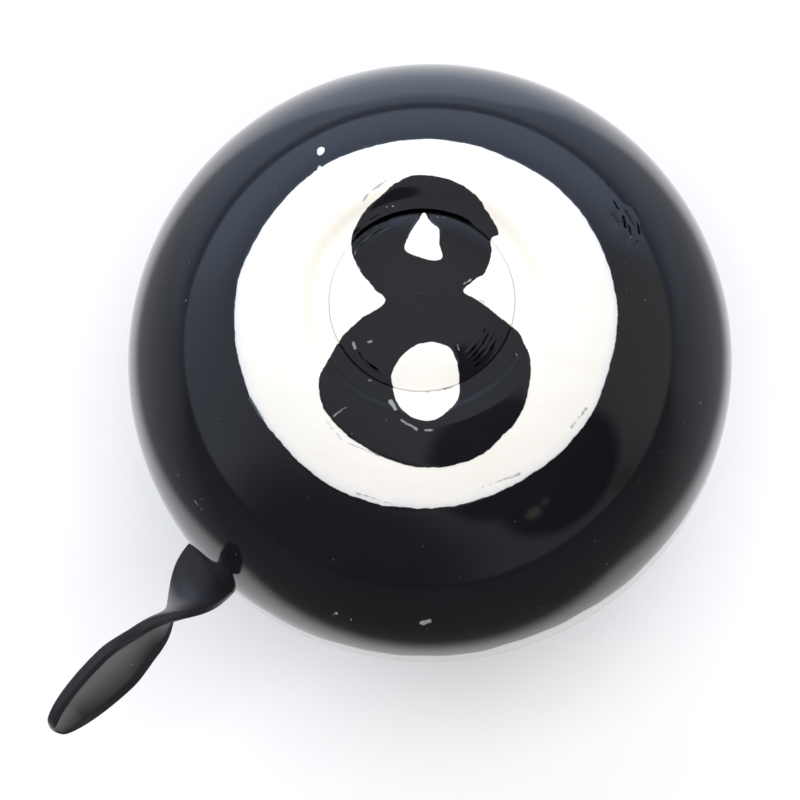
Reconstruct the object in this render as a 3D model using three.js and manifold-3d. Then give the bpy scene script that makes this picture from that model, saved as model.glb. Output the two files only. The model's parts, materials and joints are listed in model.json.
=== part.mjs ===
// Rotary thumb-lever bicycle bell on a two-piece handlebar clamp. Millimetres, +Z up the bell axis.
// The origin is the centre of the handlebar bore, and the handlebar runs along X.
import * as THREE from 'three';
import { mergeVertices } from 'three/addons/utils/BufferGeometryUtils.js';
import Module from 'manifold-3d';

const wasm = await Module();
wasm.setup();

// Driving sizes.
const BAR_D = 22.2;        // handlebar
const LINER_T = 1.2;       // rubber liner
const CLAMP_T = 1.6;       // clamp strap wall
const CLAMP_W = 24;        // clamp along the bar
const GONG_R = 40;         // gong outside radius
const GONG_T = 1.2;        // gong wall
const SKIRT_H = 4;         // straight part of the gong above its rim
const DOME_RISE = 31.6;    // dome above the skirt
const LIP_R = 15.5;        // crown recess
const RECESS_D = 1.6;
const CAP_R = 11.7;        // crown cap
const CUP_T = 1;           // base cup wall
const STRIP_W = 9;         // lever strip
const STRIP_T = 1.5;
const PAD_W = 14.4;        // lever pad
const LEAN = 1.4;          // how far off the pivot's radius the strip leaves the gong
const LEVER_REACH = 29.6;  // pad tip beyond the gong
const TWIST = 101;         // degrees between strip and pad
const LEVER_AZ = 224;      // azimuth of the lever, degrees
const STROKE = 28;         // lever swing, degrees
const SECTOR_N = 40;       // teeth of a whole sector gear
const PINION_N = 10;
const WHEEL_N = 30;
const ROTOR_N = 12;
const STRIKER_R = 7;
const STRIKER_H = 3.2;
const STRIKER_PLAY = 1.2;
const SCREW_R = 2.5;

// Fits.
const GAP = 0.05;          // faces that touch
const RUN = 0.1;           // radial running fit
const PRESS = 0.03;        // radial fixed fit
const BACKLASH = 0.16;

// Derived sizes.
const MODULE = GONG_R / 50;
const CLAMP_R = BAR_D / 2 + LINER_T + GAP;
const SADDLE_TOP = CLAMP_R + 2.6;
const FLOOR = SADDLE_TOP + GAP + CUP_T;
const RIM_Z = FLOOR + 7;
const DOME_Z = RIM_Z + SKIRT_H;
const CUP_R = GONG_R - GONG_T - 1.8;
const CUP_TOP = FLOOR + 9;
const LEVER_Z = FLOOR + 3;
const LEVER_TOP = LEVER_Z + STRIP_T;
const WHEEL_Z = LEVER_TOP + 1.1;
const WHEEL_T = 1.4;
const ARM_Z = WHEEL_Z + WHEEL_T + 1.35;
const ARM_T = 1.45;
const STRIKER_Z = ARM_Z + ARM_T + 0.1;
const LUG_R = GONG_R - GONG_T - 4.2;
const PIN_ORBIT = LUG_R - 0.4 - STRIKER_PLAY - STRIKER_R;
const JOURNAL_R = MODULE * (ROTOR_N / 2 - 1.15) - 0.88;
const PIVOT_ORBIT = GONG_R * 0.6;
const MESH_SECTOR = MODULE * (SECTOR_N + PINION_N) / 2;
const MESH_ROTOR = MODULE * (WHEEL_N + ROTOR_N) / 2;

const rad = (d) => d * Math.PI / 180;
const polar = (r, deg) => [r * Math.cos(rad(deg)), r * Math.sin(rad(deg))];
const cosRule = (a, b, c) => Math.acos((a * a + b * b - c * c) / (2 * a * b)) * 180 / Math.PI;
const IDLER_AZ = LEVER_AZ - cosRule(PIVOT_ORBIT, MESH_ROTOR, MESH_SECTOR);
const PIVOT = polar(PIVOT_ORBIT, LEVER_AZ);
const IDLER = polar(MESH_ROTOR, IDLER_AZ);
const MESH_AZ = Math.atan2(IDLER[1] - PIVOT[1], IDLER[0] - PIVOT[0]) * 180 / Math.PI;
const ROTOR_AZ = 110;
const LUG_AZ = 20;

const finish = (color, roughness, metalness) =>
  new THREE.MeshStandardMaterial({ color, roughness, metalness });
const ENAMEL = finish(0x0c0c0e, 0.2, 0);
const STEEL = finish(0xa9abad, 0.35, 1);
const ZINC = finish(0x8f9396, 0.45, 1);
const BRASS = finish(0xb9974d, 0.35, 1);
const NYLON = finish(0xe4e0d2, 0.5, 0);
const RUBBER = finish(0x1b1b1b, 0.85, 0);
const SPRING = finish(0x6f7274, 0.3, 1);
const CASTING = finish(0x77797b, 0.5, 1);

const bell = new THREE.Group();
bell.name = 'thumb_lever_bell';

function toManifold(geometry) {
  const g = geometry.index ? geometry.toNonIndexed() : geometry.clone();
  g.deleteAttribute('normal');
  g.deleteAttribute('uv');
  const m = mergeVertices(g, 1e-4);
  const p = m.attributes.position.array;
  let tri = [];
  for (let i = 0; i < m.index.count; i += 3) {
    const [a, b, c] = [m.index.getX(i), m.index.getX(i + 1), m.index.getX(i + 2)];
    if (a !== b && b !== c && a !== c) tri.push(a, b, c);
  }
  let volume = 0;
  for (let i = 0; i < tri.length; i += 3) {
    const [a, b, c] = [0, 1, 2].map((k) => new THREE.Vector3().fromArray(p, 3 * tri[i + k]));
    volume += a.dot(b.cross(c));
  }
  if (volume < 0) {
    for (let i = 0; i < tri.length; i += 3) [tri[i], tri[i + 1]] = [tri[i + 1], tri[i]];
  }
  return new wasm.Manifold(new wasm.Mesh({
    numProp: 3, vertProperties: new Float32Array(p), triVerts: new Uint32Array(tri),
  }));
}

function toGeometry(manifold) {
  const mesh = manifold.getMesh();
  const g = new THREE.BufferGeometry();
  g.setAttribute('position', new THREE.BufferAttribute(new Float32Array(mesh.vertProperties), 3));
  g.setIndex(new THREE.BufferAttribute(new Uint32Array(mesh.triVerts), 1));
  return g;
}

const union = (first, ...rest) => rest.reduce((a, b) => a.add(b), first);
const cut = (first, ...rest) => rest.reduce((a, b) => a.subtract(b), first);

function piece(name, solid, material) {
  let g = toGeometry(solid);
  g = mergeVertices(g, 2e-3).toNonIndexed();
  g.computeVertexNormals();
  const mesh = new THREE.Mesh(g, material);
  mesh.name = name;
  bell.add(mesh);
}

function prism(points, z0, z1) {
  const shape = new THREE.Shape(points.map(([x, y]) => new THREE.Vector2(x, y)));
  const g = new THREE.ExtrudeGeometry(shape, { depth: z1 - z0, bevelEnabled: false });
  return toManifold(g.translate(0, 0, z0));
}

function circle(r, n = 24, [x, y] = [0, 0]) {
  return Array.from({ length: n }, (_, i) => {
    const a = 2 * Math.PI * i / n;
    return [x + r * Math.cos(a), y + r * Math.sin(a)];
  });
}

function arc(r, from, to, n, [x, y] = [0, 0]) {
  return Array.from({ length: n + 1 }, (_, i) => {
    const [px, py] = polar(r, from + (to - from) * i / n);
    return [x + px, y + py];
  });
}

const rod = (r, z0, z1, at = [0, 0], n = 24) => prism(circle(r, n, at), z0, z1);

// A closed profile of [radius, height] points, turned about Z.
function turned(profile, n = 24, at = [0, 0]) {
  const pts = profile.map(([r, z]) => new THREE.Vector2(r, z));
  if (profile[0][0] > 0) pts.push(pts[0].clone());
  const g = new THREE.LatheGeometry(pts, n);
  return toManifold(g.rotateX(Math.PI / 2).translate(at[0], at[1], 0));
}

// Rings of equal point count, joined in order and capped at both ends.
function loft(rings) {
  const n = rings[0].length;
  const pos = rings.flat().flatMap((v) => [v.x, v.y, v.z]);
  const idx = [];
  for (let i = 0; i + 1 < rings.length; i++) {
    for (let k = 0; k < n; k++) {
      const [a, b] = [i * n + k, i * n + (k + 1) % n];
      idx.push(a, b, b + n, a, b + n, a + n);
    }
  }
  const end = (rings.length - 1) * n;
  for (let k = 1; k + 1 < n; k++) {
    idx.push(0, k + 1, k, end, end + k, end + k + 1);
  }
  const g = new THREE.BufferGeometry();
  g.setAttribute('position', new THREE.Float32BufferAttribute(pos, 3));
  g.setIndex(idx);
  return toManifold(g);
}

function wire(path, r, sides = 6) {
  const curve = path.map((p) => new THREE.Vector3(...p));
  let normal = new THREE.Vector3(0, 0, 1);
  const rings = curve.map((p, i) => {
    const t = curve[Math.min(i + 1, curve.length - 1)].clone()
      .sub(curve[Math.max(i - 1, 0)]).normalize();
    normal = normal.clone().addScaledVector(t, -normal.dot(t)).normalize();
    const side = t.clone().cross(normal);
    return Array.from({ length: sides }, (_, k) => {
      const a = 2 * Math.PI * k / sides;
      return p.clone().addScaledVector(normal, r * Math.cos(a)).addScaledVector(side, r * Math.sin(a));
    });
  });
  return loft(rings);
}

// Involute teeth from index k0 to k1; a whole gear closes on itself.
const PRESSURE = rad(25);
const inv = (a) => Math.tan(a) - a;
function teeth(count, phase, k0, k1, at) {
  const pitch = MODULE * count / 2;
  const base = pitch * Math.cos(PRESSURE);
  const root = pitch - 1.15 * MODULE;
  const tip = pitch + 0.9 * MODULE;
  const half = (Math.PI * MODULE - BACKLASH) / 4 / pitch;
  const start = Math.max(base, root);
  const width = (r) => half + inv(PRESSURE) - inv(Math.acos(Math.min(1, base / r)));
  const radii = [0, 0.5, 1].map((f) => start + (tip - start) * f);
  const out = [];
  for (let k = k0; k <= k1; k++) {
    const mid = rad(phase) + 2 * Math.PI * k / count;
    const put = (r, a) => out.push([at[0] + r * Math.cos(a), at[1] + r * Math.sin(a)]);
    if (root < start) put(root, mid - width(start));
    radii.forEach((r) => put(r, mid - width(r)));
    [...radii].reverse().forEach((r) => put(r, mid + width(r)));
    if (root < start) put(root, mid + width(start));
  }
  return out;
}

// --- Gong, cap and what carries them ---
const domeOut = (r) => DOME_Z + DOME_RISE * Math.sqrt(1 - (r / GONG_R) ** 2);
const domeIn = (r) => DOME_Z + (DOME_RISE - GONG_T) * Math.sqrt(1 - (r / (GONG_R - GONG_T)) ** 2);
const RECESS_Z = domeOut(LIP_R) - RECESS_D;
const slope = (f) => CAP_R + 0.6 + f * (LIP_R - CAP_R - 0.6);
const SEAT_Z = RECESS_Z - GONG_T;
const STUD_R = JOURNAL_R - 0.5;
const onDome = (a, b, r0, r1, n) => Array.from({ length: n + 1 }, (_, i) => {
  const u0 = Math.acos(r0 / a);
  const u = u0 + (Math.acos(r1 / a) - u0) * i / n;
  return [a * Math.cos(u), DOME_Z + b * Math.sin(u)];
});
const inR = GONG_R - GONG_T;
piece('gong', turned([
  [inR, RIM_Z + 0.3], [inR + 0.3, RIM_Z], [GONG_R - 0.3, RIM_Z], [GONG_R, RIM_Z + 0.3],
  ...onDome(GONG_R, DOME_RISE, GONG_R, LIP_R + 0.5, 10),
  [slope(0.9), domeOut(LIP_R) - 0.1], [slope(0.62), RECESS_Z + RECESS_D * 0.55],
  [slope(0.25), RECESS_Z + RECESS_D * 0.12], [slope(0), RECESS_Z],
  [STUD_R + 0.3, RECESS_Z], [STUD_R + 0.3, SEAT_Z],
  [slope(-0.06), SEAT_Z], [slope(0.56), SEAT_Z + RECESS_D * 0.5],
  [LIP_R + 0.4, domeIn(LIP_R + 0.4)],
  ...onDome(inR, DOME_RISE - GONG_T, LIP_R + 1.4, inR, 8),
], 64), ENAMEL);

const CAP_TOP = domeOut(0) - 0.4;
const CAP_RISE = CAP_TOP - RECESS_Z - 0.75;
const crown = [0, 0.2, 0.4, 0.58, 0.74, 0.87, 0.96].map((f) =>
  [CAP_R * f, RECESS_Z + 0.75 + CAP_RISE * (1 - f ** 2.3)]);
piece('crown_cap', turned([
  ...crown, [CAP_R, RECESS_Z + 0.55], [CAP_R, RECESS_Z + GAP], [STUD_R + RUN, RECESS_Z + GAP],
  [STUD_R + RUN, CAP_TOP - 1.2],
  [0, CAP_TOP - 1.2],
], 56), ENAMEL);

piece('gong_washer', turned([
  [STUD_R + RUN, SEAT_Z - GAP], [8, SEAT_Z - GAP], [8, SEAT_Z - GAP - 0.8],
  [STUD_R + RUN, SEAT_Z - GAP - 0.8],
]), NYLON);

const SHOULDER_Z = ARM_Z + ARM_T + 0.15;
piece('gong_spacer', turned([
  [STUD_R + RUN, SHOULDER_Z + GAP], [5, SHOULDER_Z + GAP], [5, SEAT_Z - 0.8 - 2 * GAP],
  [STUD_R + RUN, SEAT_Z - 0.8 - 2 * GAP],
]), ZINC);

const SPIGOT_LOW = FLOOR - CUP_T - GAP - 1.25;
piece('centre_post', turned([
  [0, SPIGOT_LOW], [3.2, SPIGOT_LOW], [3.8, SPIGOT_LOW + 0.5], [3.8, FLOOR - CUP_T - GAP],
  [STUD_R, FLOOR - CUP_T - GAP], [STUD_R, FLOOR + GAP], [5, FLOOR + GAP], [5, FLOOR + 1],
  [JOURNAL_R, FLOOR + 1], [JOURNAL_R, SHOULDER_Z], [STUD_R, SHOULDER_Z],
  [STUD_R, CAP_TOP - 1.7], [STUD_R - 0.4, CAP_TOP - 1.3], [0, CAP_TOP - 1.3],
]), ZINC);

// A block between two azimuths whose section is a convex [radius, height] outline.
function sectorBlock(outline, a0, a1, n) {
  return loft(Array.from({ length: n + 1 }, (_, i) => {
    const a = rad(a0 + (a1 - a0) * i / n);
    return outline.map(([r, z]) => new THREE.Vector3(r * Math.cos(a), r * Math.sin(a), z));
  }));
}
const lugTop = STRIKER_Z + STRIKER_H + 1.5;
const lugLow = RIM_Z + 2;
const lugGap = GONG_R * 0.0035;
for (const [tag, side] of [['a', 0], ['b', 180]]) {
  piece(`striker_lug_${tag}`, sectorBlock([
    [LUG_R, lugLow + 0.8], [inR - lugGap, lugLow], [inR - lugGap, DOME_Z],
    [domeRadius(lugTop) - lugGap, lugTop], [LUG_R, lugTop - 0.8],
  ], LUG_AZ + side - 6, LUG_AZ + side + 6, 4), STEEL);
}
function domeRadius(z) {
  return inR * Math.sqrt(1 - ((z - DOME_Z) / (DOME_RISE - GONG_T)) ** 2);
}

// --- Rotor ---
const ROTOR_PIN_Z = WHEEL_Z - 0.5;
piece('rotor_sleeve', turned([
  [JOURNAL_R + RUN, FLOOR + 1 + GAP], [JOURNAL_R + 1.4, FLOOR + 1 + GAP],
  [JOURNAL_R + 1.4, ROTOR_PIN_Z - 0.1], [JOURNAL_R + RUN, ROTOR_PIN_Z - 0.1],
]), BRASS);

const rotorSpace = IDLER_AZ + 180 / ROTOR_N;
const rotorTop = ARM_Z + ARM_T - GAP;
const HUB_R = JOURNAL_R + 1.1;
piece('rotor_pinion', cut(
  union(
    prism(teeth(ROTOR_N, rotorSpace, 0, ROTOR_N - 1, [0, 0]), ROTOR_PIN_Z, ARM_Z - GAP),
    rod(HUB_R - 0.05, ARM_Z - GAP - 0.2, rotorTop),
  ),
  rod(JOURNAL_R + RUN, ROTOR_PIN_Z - 1, rotorTop + 1),
), BRASS);

const armEnds = [0, 180].map((s) => polar(PIN_ORBIT, ROTOR_AZ + s));
const PIN_R = 2.2;
const armSide = (a0, a1, at, r) => arc(r, ROTOR_AZ + a0, ROTOR_AZ + a1, 8, at);
const armOutline = [
  ...armSide(-80, 80, armEnds[0], 5), ...armSide(70, 110, [0, 0], 9),
  ...armSide(100, 260, armEnds[1], 5), ...armSide(250, 290, [0, 0], 9),
];
piece('rotor_arm', cut(
  prism(armOutline, ARM_Z, ARM_Z + ARM_T),
  rod(HUB_R, ARM_Z - 1, ARM_Z + 9),
  ...armEnds.map((p) => rod(PIN_R + PRESS, ARM_Z - 1, ARM_Z + 9, p, 24)),
), STEEL);

['a', 'b'].forEach((tag, i) => {
  const top = STRIKER_Z + STRIKER_H + 0.2;
  piece(`striker_pin_${tag}`, turned([
    [0, ARM_Z - 0.65], [2.6, ARM_Z - 0.65], [3, ARM_Z - 0.4], [3, ARM_Z - GAP],
    [PIN_R, ARM_Z - GAP], [PIN_R, top], [5, top], [5, top + 0.6], [4.4, top + 1], [0, top + 1],
  ], 24, armEnds[i]), STEEL);
  const hole = PIN_R + STRIKER_PLAY + 0.1;
  piece(`striker_${tag}`, turned([
    [hole, STRIKER_Z + 0.3], [hole + 0.3, STRIKER_Z], [STRIKER_R - 0.5, STRIKER_Z],
    [STRIKER_R, STRIKER_Z + 0.5], [STRIKER_R, STRIKER_Z + STRIKER_H - 0.5],
    [STRIKER_R - 0.5, STRIKER_Z + STRIKER_H], [hole + 0.3, STRIKER_Z + STRIKER_H],
    [hole, STRIKER_Z + STRIKER_H - 0.3],
  ], 24, armEnds[i]), ZINC);
});

// --- Idler ---
const IDLER_R = MODULE * (PINION_N / 2 - 1.15) - 1.15;
const idlerBore = IDLER_R + RUN;
const pinionLow = LEVER_Z - 0.6;
const idlerSpace = MESH_AZ + 180 + 180 / PINION_N;
const spigotR = MODULE * (PINION_N / 2 - 1.15) - 0.05;
piece('idler_pinion', cut(
  union(
    rod(spigotR, FLOOR + 0.2, WHEEL_Z + WHEEL_T, IDLER, 20),
    prism(teeth(PINION_N, idlerSpace, 0, PINION_N - 1, IDLER), pinionLow, WHEEL_Z - GAP),
  ),
  rod(idlerBore, FLOOR - 1, WHEEL_Z + 9, IDLER),
), BRASS);
const wheelHoles = [0, 1, 2, 3, 4].map((k) => {
  const [x, y] = polar(MODULE * 9, 72 * k);
  return rod(MODULE * 2.6, WHEEL_Z - 1, WHEEL_Z + 9, [IDLER[0] + x, IDLER[1] + y], 12);
});
piece('idler_wheel', cut(
  prism(teeth(WHEEL_N, IDLER_AZ + 180, 0, WHEEL_N - 1, IDLER), WHEEL_Z, WHEEL_Z + WHEEL_T),
  rod(spigotR + PRESS, WHEEL_Z - 1, WHEEL_Z + 9, IDLER), ...wheelHoles,
), NYLON);
const idlerTop = WHEEL_Z + WHEEL_T + 0.1;
const HEAD_R = 3.2;
const underFloor = FLOOR - CUP_T - GAP;
piece('idler_axle', turned([
  [0, underFloor - 0.9], [2.8, underFloor - 0.9], [HEAD_R, underFloor - 0.5], [HEAD_R, underFloor],
  [IDLER_R, underFloor], [IDLER_R, idlerTop], [2.7, idlerTop], [2.7, idlerTop + 0.3],
  [2.2, idlerTop + 0.6], [0, idlerTop + 0.6],
], 24, IDLER), STEEL);

// --- Thumb lever ---
const PIVOT_R = 2.5;
const at = (s, lateral, z, turn = 0) => {
  const [dx, dy] = polar(1, LEVER_AZ + turn);
  return [PIVOT[0] + s * dx - lateral * dy, PIVOT[1] + s * dy + lateral * dx, z];
};
const flatEnd = GONG_R - 1.5 - PIVOT_ORBIT;
const tipS = GONG_R + LEVER_REACH - PIVOT_ORBIT;
const kMin = -1;
const kMax = Math.ceil(STROKE * SECTOR_N / 360);
const sectorTeeth = teeth(SECTOR_N, MESH_AZ, kMin, kMax, PIVOT);
const rootR = MODULE * (SECTOR_N / 2 - 1.15);
const pitchAngle = 360 / SECTOR_N;
const sectorFrom = MESH_AZ + (kMin - 0.5) * pitchAngle;
const sectorTo = MESH_AZ + (kMax + 0.5) * pitchAngle;
const shifted = (r, a) => polar(r, a).map((v, i) => v + PIVOT[i]);
const sectorOutline = [
  PIVOT, shifted(rootR, sectorFrom), ...sectorTeeth, shifted(rootR, sectorTo),
];
const strip = [
  at(0, -STRIP_W / 2, 0), at(flatEnd, -LEAN - STRIP_W / 2, 0),
  at(flatEnd, -LEAN + STRIP_W / 2, 0), at(0, STRIP_W / 2, 0),
].map(([x, y]) => [x, y]);
const sectorMid = (sectorFrom + sectorTo) / 2;
const webR = rootR * 0.72;
const smooth = (x) => { const t = Math.min(1, Math.max(0, x)); return t * t * (3 - 2 * t); };

// Pad section: a shallow dish with a rolled rim, turned up on edge from the flat strip.
const twistLength = 14;
const neck = flatEnd + 12.2;
const nose = 11.6;
const padMid = tipS - nose;
const sections = 50;
const padRings = Array.from({ length: sections + 1 }, (_, i) => {
  const f = i / sections;
  const s = flatEnd - 0.5 + (tipS - flatEnd + 0.5) * (1 - (1 - f) ** 1.35);
  const oval = Math.max(0, 1 - (Math.max(0, s - padMid) / nose) ** 1.9) ** 0.5;
  const half = s > padMid ? Math.max(0.5, PAD_W / 2 * oval)
    : STRIP_W / 2 + (PAD_W - STRIP_W) / 2 * smooth((s - neck) / (padMid - neck));
  const turn = rad(TWIST * smooth((s - flatEnd) / twistLength));
  const lean = -LEAN + smooth((s - flatEnd) / 10);
  const blend = smooth((s - flatEnd - 5) / 8);
  const dish = 1.3 * blend * Math.min(1, (tipS - s) / 4);
  const lip = 0.4 * blend * Math.min(1, (tipS - s) / 1.5 + 0.3);
  const thin = Math.max(0.3, Math.sqrt(1 - (1 - Math.min(1, (tipS - s) / 0.8)) ** 2));
  const [dx, dy] = polar(1, LEVER_AZ);
  const across = new THREE.Vector3(-dy, dx, 0);
  const u = across.clone().multiplyScalar(Math.cos(turn)).add(new THREE.Vector3(0, 0, Math.sin(turn)));
  const back = across.clone().multiplyScalar(-Math.sin(turn))
    .add(new THREE.Vector3(0, 0, Math.cos(turn)));
  const centre = new THREE.Vector3(...at(s, lean, LEVER_Z + STRIP_T / 2));
  const h = STRIP_T / 2;
  const bowl = (v) => dish * Math.cos(v * Math.PI / 2) ** 0.8;
  const face = [[-1, -h - lip * 0.5], [-0.975, -h - lip * 0.9], [-0.93, -h - lip],
    [-0.88, -h - lip * 0.7], [-0.82, -h + bowl(0.82) * 0.6],
    ...[-0.7, -0.5, -0.25, 0, 0.25, 0.5, 0.7].map((v) => [v, -h + bowl(v)]),
    [0.82, -h + bowl(0.82) * 0.6], [0.88, -h - lip * 0.7], [0.93, -h - lip],
    [0.975, -h - lip * 0.9], [1, -h - lip * 0.5]];
  const rear = [[1, h - lip * 0.5], [0.96, h - lip * 0.1],
    ...[0.8, 0.5, 0.2, -0.2, -0.5, -0.8].map((v) => [v, h + bowl(v) * 0.85]),
    [-0.96, h - lip * 0.1], [-1, h - lip * 0.5]];
  return [...face, ...rear].map(([v, w]) =>
    centre.clone().addScaledVector(u, v * half).addScaledVector(back, w * thin));
});

piece('thumb_lever', cut(
  union(
    rod(6.4, LEVER_Z, LEVER_TOP, PIVOT),
    prism(sectorOutline, LEVER_Z, LEVER_TOP),
    prism(strip, LEVER_Z, LEVER_TOP),
    loft(padRings),
  ),
  rod(PIVOT_R + RUN, LEVER_Z - 1, LEVER_TOP + 1, PIVOT),
  rod(rootR * 0.13, LEVER_Z - 1, LEVER_TOP + 1, shifted(webR, sectorMid)),
), ENAMEL);

piece('lever_bush', turned([
  [PIVOT_R + RUN, FLOOR + GAP], [4.2, FLOOR + GAP], [4.2, LEVER_Z - 0.1],
  [PIVOT_R + RUN, LEVER_Z - 0.1],
], 24, PIVOT), BRASS);
piece('lever_pivot_rivet', turned([
  [0, underFloor - 1], [3.4, underFloor - 1], [4, underFloor - 0.5], [4, underFloor],
  [PIVOT_R, underFloor], [PIVOT_R, LEVER_TOP + 0.1], [4.5, LEVER_TOP + 0.1],
  [4.5, LEVER_TOP + 0.4], [3.8, LEVER_TOP + 0.75], [0, LEVER_TOP + 0.75],
], 24, PIVOT), STEEL);

// --- Return spring: coil round the bush, one leg on the lever's edge, one on the anchor pin ---
const WIRE_R = 0.4;
const coilR = Math.max(4.2 + WIRE_R + 0.3, STRIP_W / 2 + WIRE_R + 0.15);
const TURNS = 1.75;
const coilPitch = 2 * WIRE_R + 0.05;
const coilLow = FLOOR + WIRE_R + 0.15;
const coilHigh = coilLow + TURNS * coilPitch;
const legA = coilR + 3.55;
const startAz = LEVER_AZ - 90 - TURNS * 360;
const coil = Array.from({ length: 43 }, (_, i) => {
  const [x, y] = shifted(coilR, startAz + TURNS * 360 * i / 42);
  return [x, y, coilLow + (coilHigh - coilLow) * i / 42];
});
const [tx, ty] = polar(1, startAz - 90);
const legStart = [coil[0][0] + legA * tx, coil[0][1] + legA * ty, coilLow];
const legMid = [coil[0][0] + legA / 2 * tx, coil[0][1] + legA / 2 * ty, coilLow];
const legEnd = Math.sqrt((CUP_R - 3) ** 2 - coilR ** 2) - PIVOT_ORBIT;
const onEdge = (f, z) => at(legEnd * f, -coilR - LEAN * f * legEnd / flatEnd, z);
piece('return_spring', wire([
  legStart, legMid, ...coil,
  onEdge(0.5, coilHigh + 0.05), onEdge(0.6, coilHigh + 0.3), onEdge(0.78, LEVER_Z + 0.4),
  onEdge(0.88, LEVER_Z + 0.75), onEdge(1, LEVER_Z + 0.75),
], WIRE_R), SPRING);
const ANCHOR_R = 1.2;
const anchorOff = WIRE_R + ANCHOR_R + 0.1;
const [nx, ny] = polar(anchorOff, startAz + 180);
const anchor = [coil[0][0] + (legA - 0.8) * tx + nx, coil[0][1] + (legA - 0.8) * ty + ny];
piece('spring_anchor_pin', turned([
  [0, underFloor - 0.6], [1.8, underFloor - 0.6], [2, underFloor - 0.3], [2, underFloor],
  [ANCHOR_R, underFloor], [ANCHOR_R, FLOOR + 2.2], [0, FLOOR + 2.2],
], 20, anchor), STEEL);

// --- Base cup ---
const cornerAt = [CUP_R - 7, FLOOR + 6];
const cupOutline = [
  [0, FLOOR - CUP_T], ...arc(7, -90, 0, 6, cornerAt), [CUP_R, CUP_TOP - 0.2],
  [CUP_R - 0.2, CUP_TOP], [CUP_R - CUP_T + 0.2, CUP_TOP], [CUP_R - CUP_T, CUP_TOP - 0.2],
  ...arc(7 - CUP_T, 0, -90, 5, cornerAt), [0, FLOOR],
];
// Where an edge of the strip crosses radius r with the lever turned.
const crossing = (r, lateral, turn) => {
  const [px, py] = at(0, lateral, 0, turn);
  const [dx, dy] = polar(1, LEVER_AZ + turn);
  const b = px * dx + py * dy;
  const s = -b + Math.sqrt(b * b - px * px - py * py + r * r);
  return (Math.atan2(py + s * dy, px + s * dx) * 180 / Math.PI + 360) % 360;
};
const wall = [CUP_R - CUP_T, CUP_R - CUP_T / 2, CUP_R];
const edges = (lateral, turn) => wall.map((r) => crossing(r, lateral, turn));
const slotFrom = Math.min(...edges(-LEAN - STRIP_W / 2, -STROKE)) - 0.4;
const slotTo = Math.max(...edges(STRIP_W / 2, 0)) + 0.4;
const slot = prism([
  ...arc(CUP_R - 6, slotFrom, slotTo, 6), ...arc(CUP_R + 2, slotTo, slotFrom, 6),
], LEVER_Z - 0.6, LEVER_TOP + 0.6);
const RIVET_X = CLAMP_W / 2 - 4;
const floorHole = (r, p) => rod(r, FLOOR - 3, FLOOR + 2, p, 24);
piece('base_cup', cut(
  turned(cupOutline, 48), slot,
  floorHole(STUD_R + 0.1, [0, 0]), floorHole(PIVOT_R + 0.1, PIVOT),
  floorHole(IDLER_R + 0.1, IDLER), floorHole(ANCHOR_R + 0.1, anchor),
  floorHole(1.6, [RIVET_X, 0]), floorHole(1.6, [-RIVET_X, 0]),
), CASTING);

// --- Handlebar clamp: profiles in Y and Z, drawn along X ---
function along(points, half) {
  const shape = new THREE.Shape(points.map(([y, z]) => new THREE.Vector2(y, z)));
  const g = new THREE.ExtrudeGeometry(shape, { depth: 2 * half, bevelEnabled: false });
  g.translate(0, 0, -half);
  return toManifold(g.applyMatrix4(new THREE.Matrix4().set(
    0, 0, 1, 0, 1, 0, 0, 0, 0, 1, 0, 0, 0, 0, 0, 1)));
}
const EAR_Z = 1;
const outerR = CLAMP_R + CLAMP_T;
const EAR_Y = outerR + 10;
const SCREW_Y = outerR + 4.6;
const deg = (a) => a * 180 / Math.PI;
const innerA = deg(Math.asin(EAR_Z / CLAMP_R));
const outerA = deg(Math.asin((EAR_Z + CLAMP_T) / outerR));
const PAD_Y = 7;
const padA = deg(Math.acos(PAD_Y / outerR));
const saddleProfile = [
  ...arc(CLAMP_R, innerA, 180 - innerA, 28), [-EAR_Y, EAR_Z], [-EAR_Y, EAR_Z + CLAMP_T],
  ...arc(outerR, 180 - outerA, 180 - padA, 8), [-PAD_Y, SADDLE_TOP], [PAD_Y, SADDLE_TOP],
  ...arc(outerR, padA, outerA, 8), [EAR_Y, EAR_Z + CLAMP_T], [EAR_Y, EAR_Z],
];
const strapProfile = [
  ...arc(CLAMP_R, -innerA, innerA - 180, 28), [-EAR_Y, -EAR_Z], [-EAR_Y, -EAR_Z - CLAMP_T],
  ...arc(outerR, outerA - 180, -outerA, 28), [EAR_Y, -EAR_Z - CLAMP_T], [EAR_Y, -EAR_Z],
];
const screwAt = [[0, SCREW_Y], [0, -SCREW_Y]];
const earHoles = screwAt.map((p) => rod(SCREW_R + 0.25, -9, 9, p, 24));
const earCorners = [-1, 1].flatMap((sx) => [-1, 1].map((sy) => prism([
  [sx * CLAMP_W, sy * EAR_Y * 1.2], [sx * CLAMP_W / 4, sy * EAR_Y * 1.2],
  [sx * CLAMP_W / 4, sy * EAR_Y], [sx * CLAMP_W / 2, sy * (outerR + 2)],
  [sx * CLAMP_W, sy * (outerR + 2)],
], -9, 9)));
piece('clamp_saddle', cut(
  along(saddleProfile, CLAMP_W / 2), ...earHoles, ...earCorners,
  rod(4.1, CLAMP_R - 3, SADDLE_TOP + 1, [0, 0], 24),
  rod(HEAD_R + 0.25, SADDLE_TOP - 1.2, SADDLE_TOP + 1, IDLER, 24),
  ...[-1, 1].flatMap((s) => [
    rod(1.6, CLAMP_R - 3, SADDLE_TOP + 1, [s * RIVET_X, 0], 20),
    rod(2.8, CLAMP_R - 3, CLAMP_R + 1.2, [s * RIVET_X, 0], 20),
  ]),
), CASTING);
piece('clamp_strap', cut(along(strapProfile, CLAMP_W / 2), ...earHoles, ...earCorners), CASTING);
const linerIn = BAR_D / 2;
piece('clamp_liner', along([
  ...arc(linerIn, 94, 446, 48), ...arc(linerIn + LINER_T, 446, 94, 48),
], CLAMP_W / 2 + 1), RUBBER);

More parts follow.
